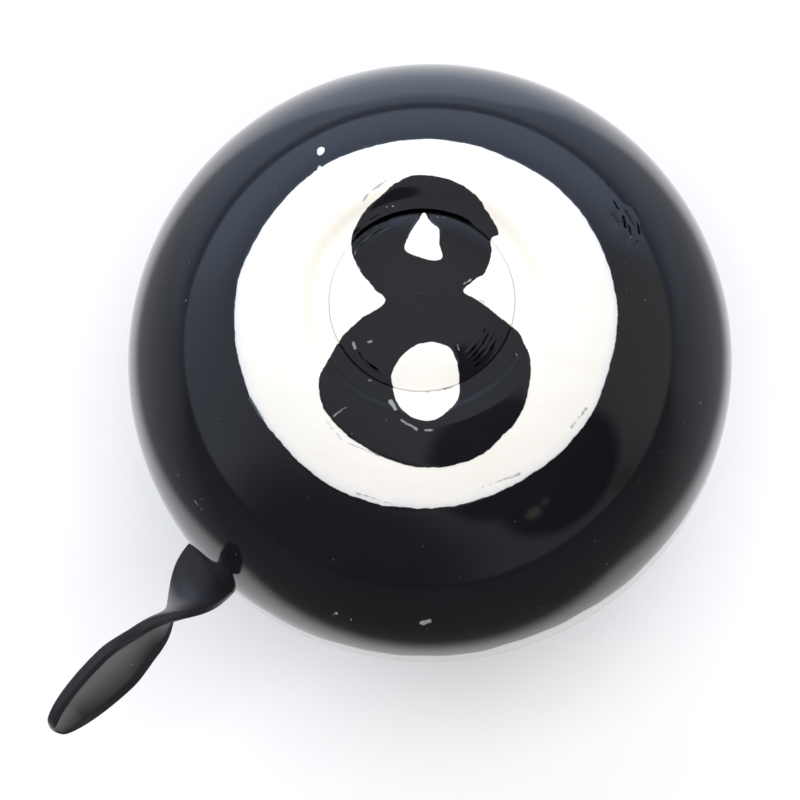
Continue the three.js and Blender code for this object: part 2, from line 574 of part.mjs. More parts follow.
for (const [tag, s] of [['a', -1], ['b', 1]]) {
  piece(`saddle_rivet_${tag}`, turned([
    [0, CLAMP_R + 0.15], [2.6, CLAMP_R + 0.15], [2.6, CLAMP_R + 1.15], [1.5, CLAMP_R + 1.15],
    [1.5, FLOOR + GAP], [2.6, FLOOR + GAP], [2.5, FLOOR + 0.5], [1.6, FLOOR + 1],
    [0, FLOOR + 1.15],
  ], 20, [s * RIVET_X, 0]), STEEL);
}

const earTop = EAR_Z + CLAMP_T;
['a', 'b'].forEach((tag, i) => {
  const p = screwAt[i];
  const headTop = -earTop - GAP;
  const headLow = headTop - SCREW_R * 1.2;
  const nutLow = earTop + GAP + 1.1;
  const nutTop = nutLow + SCREW_R * 1.6;
  const shank = turned([
    [0, headLow], [SCREW_R * 1.2, headLow], [SCREW_R * 1.7, headLow + 0.7],
    [SCREW_R * 1.85, headTop], [SCREW_R, headTop], [SCREW_R, nutTop + 1],
    [SCREW_R - 0.4, nutTop + 1.5], [0, nutTop + 1.5],
  ], 24, p);
  const bar = (w, l) => prism([[-l, -w], [l, -w], [l, w], [-l, w]].map(([x, y]) =>
    [p[0] + x, p[1] + y]), headLow - 1, headLow + 1.6);
  piece(`clamp_screw_${tag}`, cut(
    shank, bar(SCREW_R * 0.16, SCREW_R * 0.95), bar(SCREW_R * 0.95, SCREW_R * 0.16),
  ), ZINC);
  piece(`clamp_washer_${tag}`, turned([
    [SCREW_R + RUN, earTop + GAP], [SCREW_R * 1.85, earTop + GAP],
    [SCREW_R * 1.85, nutLow - GAP], [SCREW_R + RUN, nutLow - GAP],
  ], 24, p), ZINC);
  piece(`clamp_nut_${tag}`, cut(
    prism(circle(SCREW_R * 1.85, 6, p), nutLow, nutTop),
    rod(SCREW_R + RUN, nutLow - 1, nutTop + 1, p, 24),
  ), ZINC);
});

export default bell;
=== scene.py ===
"""Looks of a thumb-lever bicycle bell whose gong is painted like a numbered pool ball."""
import json
import math

import bmesh
import bpy
import numpy as np
from mathutils import Matrix, Vector


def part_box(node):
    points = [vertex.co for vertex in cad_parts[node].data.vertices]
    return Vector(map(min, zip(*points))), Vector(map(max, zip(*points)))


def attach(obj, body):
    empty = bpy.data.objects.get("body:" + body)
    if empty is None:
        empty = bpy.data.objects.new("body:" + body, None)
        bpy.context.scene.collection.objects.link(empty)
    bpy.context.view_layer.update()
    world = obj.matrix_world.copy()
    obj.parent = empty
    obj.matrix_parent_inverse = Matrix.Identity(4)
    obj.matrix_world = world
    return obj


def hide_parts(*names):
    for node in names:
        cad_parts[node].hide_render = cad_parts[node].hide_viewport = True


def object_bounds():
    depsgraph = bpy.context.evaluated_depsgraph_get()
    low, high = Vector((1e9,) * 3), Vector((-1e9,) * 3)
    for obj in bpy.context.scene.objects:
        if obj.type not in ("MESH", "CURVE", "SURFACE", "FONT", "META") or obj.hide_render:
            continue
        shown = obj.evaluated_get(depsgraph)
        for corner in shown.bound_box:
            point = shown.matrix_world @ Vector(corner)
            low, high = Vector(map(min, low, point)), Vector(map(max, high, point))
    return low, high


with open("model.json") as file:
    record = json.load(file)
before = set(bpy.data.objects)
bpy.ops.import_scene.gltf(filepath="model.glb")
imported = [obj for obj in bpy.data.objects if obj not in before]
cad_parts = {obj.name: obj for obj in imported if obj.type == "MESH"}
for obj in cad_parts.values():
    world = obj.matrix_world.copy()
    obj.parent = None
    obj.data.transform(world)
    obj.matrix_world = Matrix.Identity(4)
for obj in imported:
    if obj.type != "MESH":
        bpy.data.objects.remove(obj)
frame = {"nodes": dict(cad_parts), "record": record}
cad_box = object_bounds()
nodes = frame["nodes"]
MM = 0.001


def box_mm(node):
    lo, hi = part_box(node)
    return np.array(lo) / MM, np.array(hi) / MM


gong_lo, gong_hi = box_mm("gong")
cap_lo, cap_hi = box_mm("crown_cap")
bush_lo, bush_hi = box_mm("lever_bush")
RIM_Z = gong_lo[2]
GONG_R = gong_hi[0]
CAP_R = cap_hi[0]
CAP_TOP = cap_hi[2]
RECESS_Z = cap_lo[2] - 0.05
# Sizes of the part that no box gives, mm and degrees.
GONG_T = 1.2
SKIRT = 4.0
RISE = 31.6
LIP_R = 15.5
STRIP_W = 9.0
STRIP_T = 1.5
PAD_W = 14.4
LEAN = 1.4
LEVER_REACH = 29.6
TWIST = 101
DOME_Z = RIM_Z + SKIRT


# ---------------------------------------------------------------- shader helpers
class Shader:
    """Short-hand for building a node tree."""

    def __init__(self, name):
        self.mat = bpy.data.materials.new(name)
        self.mat.use_nodes = True
        self.tree = self.mat.node_tree
        self.bsdf = self.tree.nodes["Principled BSDF"]
        self.coord = self.add("ShaderNodeTexCoord").outputs["Object"]

    def add(self, kind, **props):
        node = self.tree.nodes.new(kind)
        for key, value in props.items():
            setattr(node, key, value)
        return node

    def link(self, a, b):
        self.tree.links.new(a, b)

    def put(self, socket, value):
        if isinstance(value, bpy.types.NodeSocket):
            self.link(value, socket)
        else:
            socket.default_value = value

    def set(self, **values):
        for key, value in values.items():
            self.put(self.bsdf.inputs[key.replace("_", " ")], value)

    def math(self, op, a, b=0.0):
        node = self.add("ShaderNodeMath", operation=op)
        self.put(node.inputs[0], a)
        self.put(node.inputs[1], b)
        return node.outputs[0]

    def less(self, a):
        """One minus a value."""
        return self.math("SUBTRACT", 1.0, a)

    def vector(self, op, a, b=None):
        node = self.add("ShaderNodeVectorMath", operation=op)
        self.link(a, node.inputs[0])
        if b is not None:
            node.inputs[1].default_value = b
        return node

    def step(self, x, lo, hi):
        node = self.add("ShaderNodeMapRange", interpolation_type="SMOOTHSTEP")
        for i, v in enumerate((x, lo, hi, 0.0, 1.0)):
            self.put(node.inputs[i], v)
        return node.outputs[0]

    def mix(self, t, a, b):
        node = self.add("ShaderNodeMix", data_type="RGBA")
        self.put(node.inputs[0], t)
        self.put(node.inputs[6], a if not isinstance(a, tuple) else (*a, 1.0))
        self.put(node.inputs[7], b if not isinstance(b, tuple) else (*b, 1.0))
        return node.outputs[2]

    def blend(self, t, a, b):
        node = self.add("ShaderNodeMix", data_type="FLOAT")
        self.put(node.inputs[0], t)
        self.put(node.inputs[2], a)
        self.put(node.inputs[3], b)
        return node.outputs[0]

    def noise(self, scale, detail=3.0, rough=0.5, stretch=None, warp=0.0):
        vector = self.coord
        if stretch:
            m = self.add("ShaderNodeMapping")
            self.link(vector, m.inputs[0])
            m.inputs["Scale"].default_value = stretch
            vector = m.outputs[0]
        node = self.add("ShaderNodeTexNoise")
        self.link(vector, node.inputs["Vector"])
        node.inputs["Scale"].default_value = scale
        node.inputs["Detail"].default_value = detail
        node.inputs["Roughness"].default_value = rough
        node.inputs["Distortion"].default_value = warp
        return node.outputs[0]

    def specks(self, scale, size, seed=0.0):
        """1 inside scattered dots, size in cell units."""
        m = self.add("ShaderNodeMapping")
        self.link(self.coord, m.inputs[0])
        m.inputs["Location"].default_value = (seed, seed * 0.7, seed * 1.3)
        node = self.add("ShaderNodeTexVoronoi")
        self.link(m.outputs[0], node.inputs["Vector"])
        node.inputs["Scale"].default_value = scale
        keep = self.add("ShaderNodeSeparateColor")
        self.link(node.outputs["Color"], keep.inputs[0])
        near = self.step(node.outputs["Distance"], size, size * 0.55)
        return self.math("MULTIPLY", near, self.math("GREATER_THAN", keep.outputs[0], 0.90))

    def attribute(self, name):
        return self.add("ShaderNodeAttribute", attribute_name=name).outputs["Fac"]

    def bump(self, height, strength, distance, normal=None):
        node = self.add("ShaderNodeBump")
        node.inputs["Strength"].default_value = strength
        node.inputs["Distance"].default_value = distance
        self.link(height, node.inputs["Height"])
        if normal is not None:
            self.link(normal, node.inputs["Normal"])
        return node.outputs[0]


# ---------------------------------------------------------------- painted outlines
# Distances in mm, negative inside. x and y are the frame's axes, seen from above the crown.
def spline(points, per=14):
    """A closed smooth line through given points."""
    p = np.array(points, float)
    out = []
    for i in range(len(p)):
        a, b, c, d = (p[(i + k) % len(p)] for k in (-1, 0, 1, 2))
        t = np.linspace(0, 1, per, endpoint=False)[:, None]
        out.append(0.5 * (2 * b + (c - a) * t + (2 * a - 5 * b + 4 * c - d) * t**2
                          + (3 * b - a - 3 * c + d) * t**3))
    return np.concatenate(out)


def distance(xy, line):
    """Signed distance of points to a closed line."""
    best = np.full(len(xy), 1e9)
    inside = np.zeros(len(xy), bool)
    x, y = xy[:, 0], xy[:, 1]
    for a, b in zip(line, np.roll(line, -1, axis=0)):
        ab = b - a
        t = np.clip(((xy - a) @ ab) / max(1e-12, ab @ ab), 0, 1)
        best = np.minimum(best, ((xy - a - t[:, None] * ab) ** 2).sum(1))
        if a[1] != b[1]:
            crosses = (a[1] > y) != (b[1] > y)
            inside ^= crosses & (x < a[0] + (y - a[1]) / (b[1] - a[1]) * (b[0] - a[0]))
    return np.where(inside, -1, 1) * np.sqrt(best)


FIGURE = spline([
    (0, 16.2), (3.9, 15.4), (6.6, 13.7), (8.5, 11.1), (9.6, 8.7), (8.9, 8.0), (8.8, 5.8), (8.0, 3.3),
    (6.4, 1.9), (5.3, 0.5), (7.0, -0.5), (9.2, -2.0), (11.6, -3.8), (13.2, -6.6), (13.4, -9.0),
    (12.8, -13.0), (11.0, -16.0), (7.8, -19.0), (4.2, -20.6), (0.7, -21.0), (-2.6, -20.4),
    (-6.4, -18.9), (-9.6, -16.6), (-11.7, -14.1), (-12.7, -11.4), (-12.1, -8.6), (-10.3, -5.1),
    (-7.7, -2.9), (-4.6, -0.8), (-5.8, 1.0), (-7.4, 3.2), (-8.7, 5.8), (-8.6, 8.8), (-7.3, 11.6),
    (-4.7, 14.1), (-2.5, 15.6)])
EYE_TOP = spline([
    (0.3, 11.6), (1.1, 10.2), (2.2, 8.9), (2.3, 6.6), (2.6, 4.8), (0.8, 4.7), (-1.9, 6.0),
    (-1.6, 8.0), (-0.5, 10.2)])
EYE_LOW = spline([
    (1.5, -6.0), (-0.6, -6.3), (-2.5, -7.7), (-3.8, -9.8), (-3.6, -11.4), (-2.8, -13.5),
    (-1.6, -14.9), (0.6, -15.6), (2.4, -15.1), (4.5, -12.7), (4.6, -9.5), (4.3, -7.8), (3.4, -6.5)])


def disc_line():
    """A brushed circle: an ellipse with a slow wobble."""
    t = np.linspace(0, 2 * math.pi, 240, endpoint=False)
    r = 1 + 0.006 * np.sin(3 * t + 0.6) - 0.004 * np.cos(5 * t) + 0.003 * np.sin(9 * t + 1.0)
    return np.stack([0.3 + 23.9 * r * np.cos(t), -1.8 + 23.6 * r * np.sin(t)], 1)


DISC = disc_line()
DRIP = np.array([-12.9, 20.9])

# Brush drags: azimuth, half spread (degrees), inner and outer radius, pitch, slant (mm, mm/degree).
STROKES = [
    (128, 23, 10.0, 12.9, 0.62, 0.016),
    (323, 21, 8.8, 11.1, 0.56, 0.012),
    (230, 14, 10.0, 11.0, 0.8, -0.01),
    (146, 7, 7.4, 7.9, 0.8, 0.0),
    (26, 3, 26.0, 30.0, 0.5, 0.35),
]
# Thin marks: from x, y to x, y, half width, all mm.
# Brush marks on the dome, drawn as painted shade: dead black with no reflection.
DRAGS = [
    (23.4, 17.6, 23.9, 15.4, 0.06), (24.2, 14.6, 24.7, 13.6, 0.12), (25.4, 12.6, 25.6, 10.9, 0.16),
    (26.1, 11.4, 26.3, 9.8, 0.13), (26.6, 8.9, 27.2, 9.3, 0.12), (26.9, 14.2, 27.2, 13.0, 0.08),
    (27.2, 12.0, 27.4, 10.4, 0.14),
]
# Chips near the rim that show grey.
CHIPS = [
    (-0.7, -37.5, 0.4, -37.25, 0.19), (-12.2, -36.0, -11.4, -36.1, 0.10), (-9.8, -36.7, -9.7, -36.7, 0.09),
]
# White drops just outside the disc.
DROPS = [
    (-13.4, 17.6, -14.6, 16.4, 0.22), (-13.0, 18.3, -13.0, 18.3, 0.2),
]
# Grey smears, scratches and lint.
SMEARS = [
    (-3.9, -12.9, -3.3, -14.1, 0.28), (-2.6, -15.5, -0.6, -16.5, 0.16), (0.4, -16.6, 1.6, -16.7, 0.10),
    (-11.9, -15.0, -9.9, -17.5, 0.10), (-9.6, -17.7, -5.0, -19.6, 0.09), (-8.6, -5.5, -8.3, -6.2, 0.16),
    (-6.7, -5.6, -6.3, -5.6, 0.14), (-6.6, -10.2, -6.3, -10.2, 0.13), (1.9, 11.0, 3.1, 10.9, 0.07),
    (-10.9, -14.6, -9.2, -13.6, 0.05), (-32.3, -17.0, -31.6, -18.9, 0.03), (-31.6, -18.9, -30.0, -21.2, 0.03),
    (-30.0, -21.2, -28.3, -23.5, 0.03), (-28.3, -23.5, -27.4, -24.9, 0.02), (29.9, -4.2, 30.3, -4.7, 0.07),
    (32.0, -2.8, 32.2, -2.4, 0.08), (34.6, -9.3, 35.1, -9.6, 0.06), (34.2, -10.7, 34.7, -10.3, 0.06),
    (28.8, -3.9, 28.8, -3.9, 0.08), (27.8, 1.4, 27.9, 1.3, 0.08), (26.0, 8.6, 26.3, 10.0, 0.06),
    (-4.4, 12.3, -4.4, 12.3, 0.09), (-3.6, 12.4, -3.6, 12.4, 0.08),
    (6.4, 12.6, 6.4, 12.6, 0.09), (4.5, -6.3, 4.6, -6.8, 0.08),
    (8.4, 7.6, 8.7, 7.9, 0.12), (-8.4, 6.0, -8.3, 6.4, 0.10), (-8.1, 4.2, -7.6, 3.7, 0.16),
    (6.2, 2.1, 5.4, 1.5, 0.14), (6.8, -0.2, 8.0, -0.9, 0.12), (11.8, -7.1, 12.0, -7.8, 0.08),
]
# Dark dabs on the white disc; the first three rows are painted shade along the near side of the crown cap's
# seam.
DABS_AND_SEAM_SHADE = [
    (-3.1, -11.5, -1.6, -11.75, 0.03), (-1.6, -11.75, 1.4, -11.8, 0.03), (1.4, -11.8, 4.2, -11.1, 0.03),
    (-6.2, 14.2, -3.7, 16.0, 0.12), (-7.5, 12.8, -6.6, 13.9, 0.08), (-21.6, -11.5, -19.9, -14.2, 0.18),
    (18.4, -15.6, 20.2, -13.2, 0.15), (7.2, -23.1, 12.0, -21.4, 0.10), (-9.0, -23.4, -3.0, -25.2, 0.10),
]


def strokes(xy, table):
    """Signed distance to a set of short round-ended strokes."""
    best = np.full(len(xy), 9.0)
    for x0, y0, x1, y1, w in table:
        a, ab = np.array([x0, y0]), np.array([x1 - x0, y1 - y0])
        t = np.clip(((xy - a) @ ab) / max(1e-9, ab @ ab), 0, 1)
        best = np.minimum(best, np.hypot(*(xy - a - t[:, None] * ab).T) - w)
    return best


def paint_fields(xy):
    """Distance to the edge of each kind of paint, by attribute name."""
    drip = np.hypot(xy[:, 0] - DRIP[0], (xy[:, 1] - DRIP[1]) / 1.35) - 0.44
    eyes = np.minimum(distance(xy, EYE_TOP), distance(xy, EYE_LOW))
    return {
        "white_mm": np.minimum.reduce([distance(xy, DISC), drip, strokes(xy, DROPS)]),
        "figure_mm": np.maximum(distance(xy, FIGURE), -eyes),
        "chip_mm": strokes(xy, CHIPS),
        "smear_mm": strokes(xy, SMEARS),
        "dab_and_seam_shade_mm": strokes(xy, DABS_AND_SEAM_SHADE),
    }


def smooth(x, lo, hi):
    t = np.clip((x - lo) / (hi - lo), 0, 1)
    return t * t * (3 - 2 * t)


# ---------------------------------------------------------------- gong and cap
def dome(r, a=GONG_R, b=RISE):
    return DOME_Z + b * np.sqrt(np.maximum(0, 1 - (r / a) ** 2))


def resample(points, step):
    """Points along a [radius, height] line at even steps."""
    p = np.array(points, float)
    d = np.concatenate([[0], np.cumsum(np.hypot(*np.diff(p, axis=0).T))])
    n = max(2, int(round(d[-1] / step)) + 1)
    s = np.linspace(0, d[-1], n)
    return np.stack([np.interp(s, d, p[:, 0]), np.interp(s, d, p[:, 1])], 1)


def outward(profile):
    """Unit normals of a [radius, height] line."""
    tangent = np.gradient(profile, axis=0)
    normal = np.stack([tangent[:, 1], -tangent[:, 0]], 1)
    return normal / np.maximum(1e-9, np.linalg.norm(normal, axis=1))[:, None]


def spin(r, z, segments):
    """Each radius and height copied round Z."""
    t = np.linspace(0, 2 * math.pi, segments, endpoint=False)
    return np.stack([np.outer(r, np.cos(t)), np.outer(r, np.sin(t)),
                     np.outer(z, np.ones(segments))], 2).reshape(-1, 3)


def ring_faces(rows, count, closed):
    """Quads between neighbouring rings of points; closed joins the last ring to the first."""
    i = np.arange(rows if closed else rows - 1)[:, None]
    k = np.arange(count)[None, :]
    here, there = i * count, (i + 1) % rows * count
    after = (k + 1) % count
    return np.stack([here + k, here + after, there + after, there + k], 2).reshape(-1, 4)


def revolve(name, profile, segments, material, closed, painted):
    """Turns a profile about Z; the painted rings stand proud by the paint's thickness."""
    profile = np.array(profile, float)
    tips = [i for i in (0, len(profile) - 1) if profile[i, 0] < 1e-6]
    rings = [i for i in range(len(profile)) if i not in tips]
    co = np.concatenate([spin(*profile[rings].T, segments),
                         np.array([[0.0, 0.0, profile[i, 1]] for i in tips]).reshape(-1, 3)])
    push = np.concatenate([spin(*outward(profile)[rings].T, segments),
                           np.tile([0.0, 0.0, 1.0], (len(tips), 1))])
    skin = np.concatenate([np.repeat(painted(profile[rings]), segments), np.ones(len(tips))])
    edge = co[:, 2] - (RIM_Z + paint_edge(np.arctan2(co[:, 1], co[:, 0])))
    coat = skin * smooth(edge, -0.15, 0.25)
    fields = paint_fields(co[:, :2])
    lift = coat * (0.06 + 0.10 * smooth(-fields["white_mm"], -0.12, 0.28)
                   + 0.09 * smooth(-fields["figure_mm"], -0.1, 0.3))
    lift += coat * 0.16 * brush(co)
    co = co + push * lift[:, None]
    quads = ring_faces(len(rings), segments, closed)
    faces = quads.tolist()
    for j, tip in enumerate(tips):
        first = 0 if tip == 0 else (len(rings) - 1) * segments
        centre = len(rings) * segments + j
        for q in range(segments):
            pair = (first + q, first + (q + 1) % segments)
            faces.append((centre, *(pair[::-1] if tip == 0 else pair)))
    mesh = bpy.data.meshes.new(name)
    mesh.from_pydata((co * MM).tolist(), [], faces)
    mesh.update()
    # Painted shade: the brush grooves, the seam's far-side crease and the listed brush marks go to the shader
    # as a dead-black field.
    black = smooth(-strokes(co[:, :2], DRAGS), -0.22, 0.22)
    fields.update(edge_mm=edge, coat=skin, drag=np.maximum.reduce([-brush(co), crease(co), black]))
    for key, values in fields.items():
        mesh.attributes.new(key, "FLOAT", "POINT").data.foreach_set("value", values.astype(np.float32))
    volume = np.einsum("ij,ij->i", co[quads[:, 0]], np.cross(co[quads[:, 1]], co[quads[:, 2]])).sum()
    if volume < 0:
        mesh.flip_normals()
    return place(name, mesh, material)


def place(name, mesh, material):
    """Adds a smooth-shaded mesh to the scene."""
    mesh.polygons.foreach_set("use_smooth", [True] * len(mesh.polygons))
    obj = bpy.data.objects.new(name, mesh)
    bpy.context.collection.objects.link(obj)
    mesh.materials.append(material)
    return obj


def paint_edge(angle):
    """Height above the rim at which the hand-painted coat starts."""
    deepest = 0.5 + 0.5 * np.cos(angle - math.radians(302))
    wobble = (0.34 * np.sin(5 * angle + 0.4) + 0.30 * np.sin(11 * angle + 2.0)
              + 0.22 * np.sin(23 * angle) + 0.14 * np.sin(47 * angle + 1.0))
    return 1.4 + 4.2 * deepest**2 + wobble


def brush(co):
    """Ridges left where the brush dragged across the crown's seam."""
    x, y = co[:, 0], co[:, 1]
    r, az = np.hypot(x, y), np.degrees(np.arctan2(y, x)) % 360
    ridge = np.zeros(len(x))
    for at, spread, inner, outer, pitch, slant in STROKES:
        off = (az - at + 180) % 360 - 180
        fade = smooth(-np.abs(off), -spread, -spread * 0.6) * smooth(r, inner - 0.3, inner + 0.2)
        fade *= smooth(-r, -outer - 0.2, -outer + 0.4)
        wave = np.abs(np.sin((r + slant * off) * math.pi / pitch)) ** 0.6 - 1
        ridge += fade * wave * (0.85 + 0.15 * np.sin(az * 0.4 + r * 5))
    return ridge


def crease(co):
    """1 along the far side of the seam, where paint bridged it and cracked; the shade in the crack is painted
    there as dead black.
    """
    r, az = np.hypot(co[:, 0], co[:, 1]), np.degrees(np.arctan2(co[:, 1], co[:, 0]))
    width = -0.15 + 0.28 * smooth(-np.abs(az - 96), -64, -30)
    return smooth(-np.abs(r - CAP_R - 0.12), -width - 0.12, -width + 0.05)


def paint_shader(name):
    """Hand-brushed black, white and bare metal, laid out by the meshes' distance attributes."""
    s = Shader(name)
    gloss = 0.055
    wob = s.math("SUBTRACT", s.noise(900, 4, 0.6), 0.5)
    tear = s.math("SUBTRACT", s.noise(330, 3, 0.55), 0.5)
    shift = s.math("ADD", s.math("MULTIPLY", wob, 0.28), s.math("MULTIPLY", tear, 0.55))
    white = s.step(s.math("ADD", s.attribute("white_mm"), shift), 0.07, -0.07)
    figure = s.step(s.math("ADD", s.attribute("figure_mm"), shift), 0.06, -0.06)
    edge = s.math("ADD", s.attribute("edge_mm"), s.math("MULTIPLY", wob, 0.5))
    coat = s.math("MULTIPLY", s.step(edge, -0.03, 0.05), s.attribute("coat"))
    fray = s.math("MULTIPLY", wob, 0.6)
    smear = s.step(s.math("ADD", s.attribute("smear_mm"), fray), 0.04, -0.08)
    dab_and_seam_shade = s.step(s.math("ADD", s.attribute("dab_and_seam_shade_mm"), fray), 0.05, -0.07)
    chip = s.step(s.math("ADD", s.attribute("chip_mm"), fray), 0.05, -0.05)
    disc = s.math("MULTIPLY", white, s.less(figure))
    # Painted shade: dead black, with no reflection, in the brush grooves, the seam's far-side crease and
    # along the brush marks.
    painted_shade = s.step(s.math("ADD", s.attribute("drag"), s.math("MULTIPLY", wob, 0.5)), 0.34, 0.56)
    painted_shade = s.math("MULTIPLY", painted_shade, s.less(disc))
    # Colours: deep black enamel, warm white with thin and thick strokes.
    cloud = s.noise(60, 3, 0.5)
    streak = s.noise(140, 4, 0.6, stretch=(1.0, 3.5, 1.0), warp=0.6)
    black = s.mix(cloud, (0.0045, 0.0048, 0.006), (0.010, 0.011, 0.014))
    cream = s.mix(streak, (0.80, 0.785, 0.72), (0.86, 0.86, 0.835))
    # Painted shade: the white is darker and warmer in a ring over the recess's shoulder. The white is thin
    # and bluish at its edge.
    radius = s.vector("LENGTH", s.vector("MULTIPLY", s.coord, (1, 1, 0)).outputs[0]).outputs["Value"]
    shade_ring = s.math("ABSOLUTE", s.math("SUBTRACT", radius, (LIP_R - 1) * MM))
    cream = s.mix(s.math("MULTIPLY", s.step(shade_ring, 0.0028, 0.0), 0.6), cream, (0.80, 0.765, 0.665))
    thin = s.step(s.math("ADD", s.attribute("white_mm"), s.math("MULTIPLY", tear, 2.2)), -1.3, -0.1)
    cream = s.mix(s.math("MULTIPLY", thin, 0.45), cream, (0.66, 0.71, 0.76))
    paint = s.mix(disc, black, cream)
    paint = s.mix(s.math("MULTIPLY", smear, 0.6), paint, (0.42, 0.43, 0.45))
    # Dark dabs, and painted shade along the near side of the cap's seam.
    paint = s.mix(s.math("MULTIPLY", dab_and_seam_shade, 0.6), paint, (0.10, 0.12, 0.15))
    paint = s.mix(chip, paint, (0.36, 0.36, 0.35))
    dust = s.math("MAXIMUM", s.specks(300, 0.055), s.math("MULTIPLY", s.specks(700, 0.10, 3.1), 0.5))
    dust = s.math("MULTIPLY", dust, s.less(disc))
    paint = s.mix(s.math("MULTIPLY", dust, 0.35), paint, (0.35, 0.35, 0.34))
    paint = s.mix(painted_shade, paint, (0.0006, 0.0006, 0.0006))
    plate = s.mix(s.noise(35, 2), (0.40, 0.395, 0.385), (0.52, 0.515, 0.50))
    # Metallic rises to 1 on bare metal and under the painted shade, so the black there shows no reflection.
    s.set(
        Base_Color=s.mix(coat, plate, paint),
        Metallic=s.math("MAXIMUM", s.less(coat), painted_shade),
    )
    grain = s.noise(220, 3, 0.5)
    rough = s.blend(disc, s.blend(grain, gloss, gloss + 0.05), 0.32)
    rough = s.math("ADD", rough, s.math("MULTIPLY", dust, 0.3))
    s.set(Roughness=s.blend(coat, 0.16, rough))
    layer = s.math("ADD", s.math("MULTIPLY", white, 0.5), s.math("MULTIPLY", figure, 0.5))
    layer = s.math("ADD", layer, s.math("MULTIPLY", coat, 0.6))
    layer = s.math("ADD", layer, s.math("MULTIPLY", dust, 0.35))
    n = s.bump(layer, 0.5, 0.00016)
    ripple = s.math("ADD", s.noise(40, 2, 0.4), s.math("MULTIPLY", grain, 0.03))
    n = s.bump(ripple, 0.16, 0.0008, n)
    s.set(Normal=n)
    return s.mat


enamel = paint_shader("painted_enamel")

inner = GONG_R - GONG_T
seat = RECESS_Z - GONG_T
u = np.linspace(0, math.acos((LIP_R + 0.9) / GONG_R), 200)
outer_line = np.stack([GONG_R * np.cos(u), DOME_Z + RISE * np.sin(u)], 1)
w = np.linspace(0, 1, 26)
lip = np.stack([
    LIP_R + 0.9 - (LIP_R + 0.9 - CAP_R - 0.08) * w,
    dome(LIP_R + 0.9 - (LIP_R + 0.9 - CAP_R - 0.08) * w) * (1 - smooth(w, 0.02, 0.72))
    + (RECESS_Z + 0.5) * smooth(w, 0.02, 0.72)], 1)
v = np.linspace(math.acos((LIP_R + 0.4) / inner), 0, 40)
inner_line = np.stack([inner * np.cos(v), DOME_Z + (RISE - GONG_T) * np.sin(v)], 1)
outside = np.concatenate([
    [(inner, RIM_Z + 0.3), (inner + 0.12, RIM_Z + 0.08), (inner + 0.35, RIM_Z)],
    [(GONG_R - 0.35, RIM_Z), (GONG_R - 0.12, RIM_Z + 0.08), (GONG_R, RIM_Z + 0.35)],
    resample([(GONG_R, RIM_Z + 0.6), (GONG_R, DOME_Z - 0.2)], 0.25),
    resample(outer_line, 0.28), lip[1:],
    [(CAP_R + 0.05, RECESS_Z + 0.44), (CAP_R + 0.05, RECESS_Z + 0.1), (CAP_R - 0.1, RECESS_Z)],
    [(CAP_R - 3, RECESS_Z), (3, RECESS_Z), (2.85, RECESS_Z - 0.1), (2.85, seat + 0.1), (3, seat),
     (CAP_R, seat), (CAP_R + 1.2, seat + 0.1), (LIP_R - 1.4, seat + 0.8)],
    inner_line,
])


def gong_skin(p):
    """1 on the painted outside, 0 inside."""
    out = p[:, 1] > np.where(p[:, 0] > LIP_R, dome(p[:, 0]) - 0.6, RECESS_Z - 0.3)
    wall = (p[:, 0] > GONG_R - 0.05)
    return np.where(out & (p[:, 0] > CAP_R - 1.2) | wall, 1.0, 0.0)


gong = revolve("gong_painted", outside, 512, enamel, True, gong_skin)
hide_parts("gong")
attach(gong, "base")

f = np.linspace(0, 1, 60)
crown = np.stack([CAP_R * f, RECESS_Z + 0.75 + (CAP_TOP - RECESS_Z - 0.75) * (1 - f**2.3)], 1)
cap_line = np.concatenate([
    crown[:-1],
    [(CAP_R - 0.06, RECESS_Z + 0.80), (CAP_R, RECESS_Z + 0.66), (CAP_R, RECESS_Z + 0.4),
     (CAP_R - 0.05, RECESS_Z + 0.16), (CAP_R - 0.2, RECESS_Z + 0.08)],
    [(2.7, RECESS_Z + 0.08), (2.6, RECESS_Z + 0.15), (2.6, CAP_TOP - 1.2), (0, CAP_TOP - 1.2)],
])
cap = revolve("crown_cap_painted", cap_line, 384, enamel, False,
              lambda p: np.where((p[:, 1] > RECESS_Z + 0.3) & ((p[:, 0] > 2.7) | (p[:, 1] > CAP_TOP - 1)),
                                 1.0, 0.0))
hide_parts("crown_cap")
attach(cap, "base")


# ---------------------------------------------------------------- thumb lever
PIVOT = (bush_lo + bush_hi)[:2] / 2
ORBIT = np.linalg.norm(PIVOT)
AHEAD = PIVOT / ORBIT
ASIDE = np.array([-AHEAD[1], AHEAD[0]])
LEVER_Z = bush_hi[2] + 0.1
# Distances from the pivot along the lever.
FLAT_END = GONG_R - 1.5 - ORBIT
NECK = FLAT_END + 12.2
TIP = GONG_R + LEVER_REACH - ORBIT
NOSE = 11.6
PAD_MID = TIP - NOSE


def blade_half(s):
    """Half the blade's width."""
    if s > PAD_MID:
        return max(0.35, PAD_W / 2 * max(0.0, 1 - ((s - PAD_MID) / NOSE) ** 1.9) ** 0.5)
    return STRIP_W / 2 + (PAD_W - STRIP_W) / 2 * smooth(s, NECK, PAD_MID)


def round_edge(sign, half, c, lo, hi):
    """The two rounded corners of one edge, from height lo to hi."""
    t = np.linspace(0, 1, 6)[:, None]
    inset, out = sign * (half - c), sign * half
    corners = np.array([(inset, lo), (out, lo), (out, lo + (hi - lo) * 0.3),
                        (out, lo + (hi - lo) * 0.7), (out, hi), (inset, hi)])
    return [(1 - t) ** 2 * a + 2 * t * (1 - t) * b + t**2 * d for a, b, d in (corners[:3], corners[3:])]


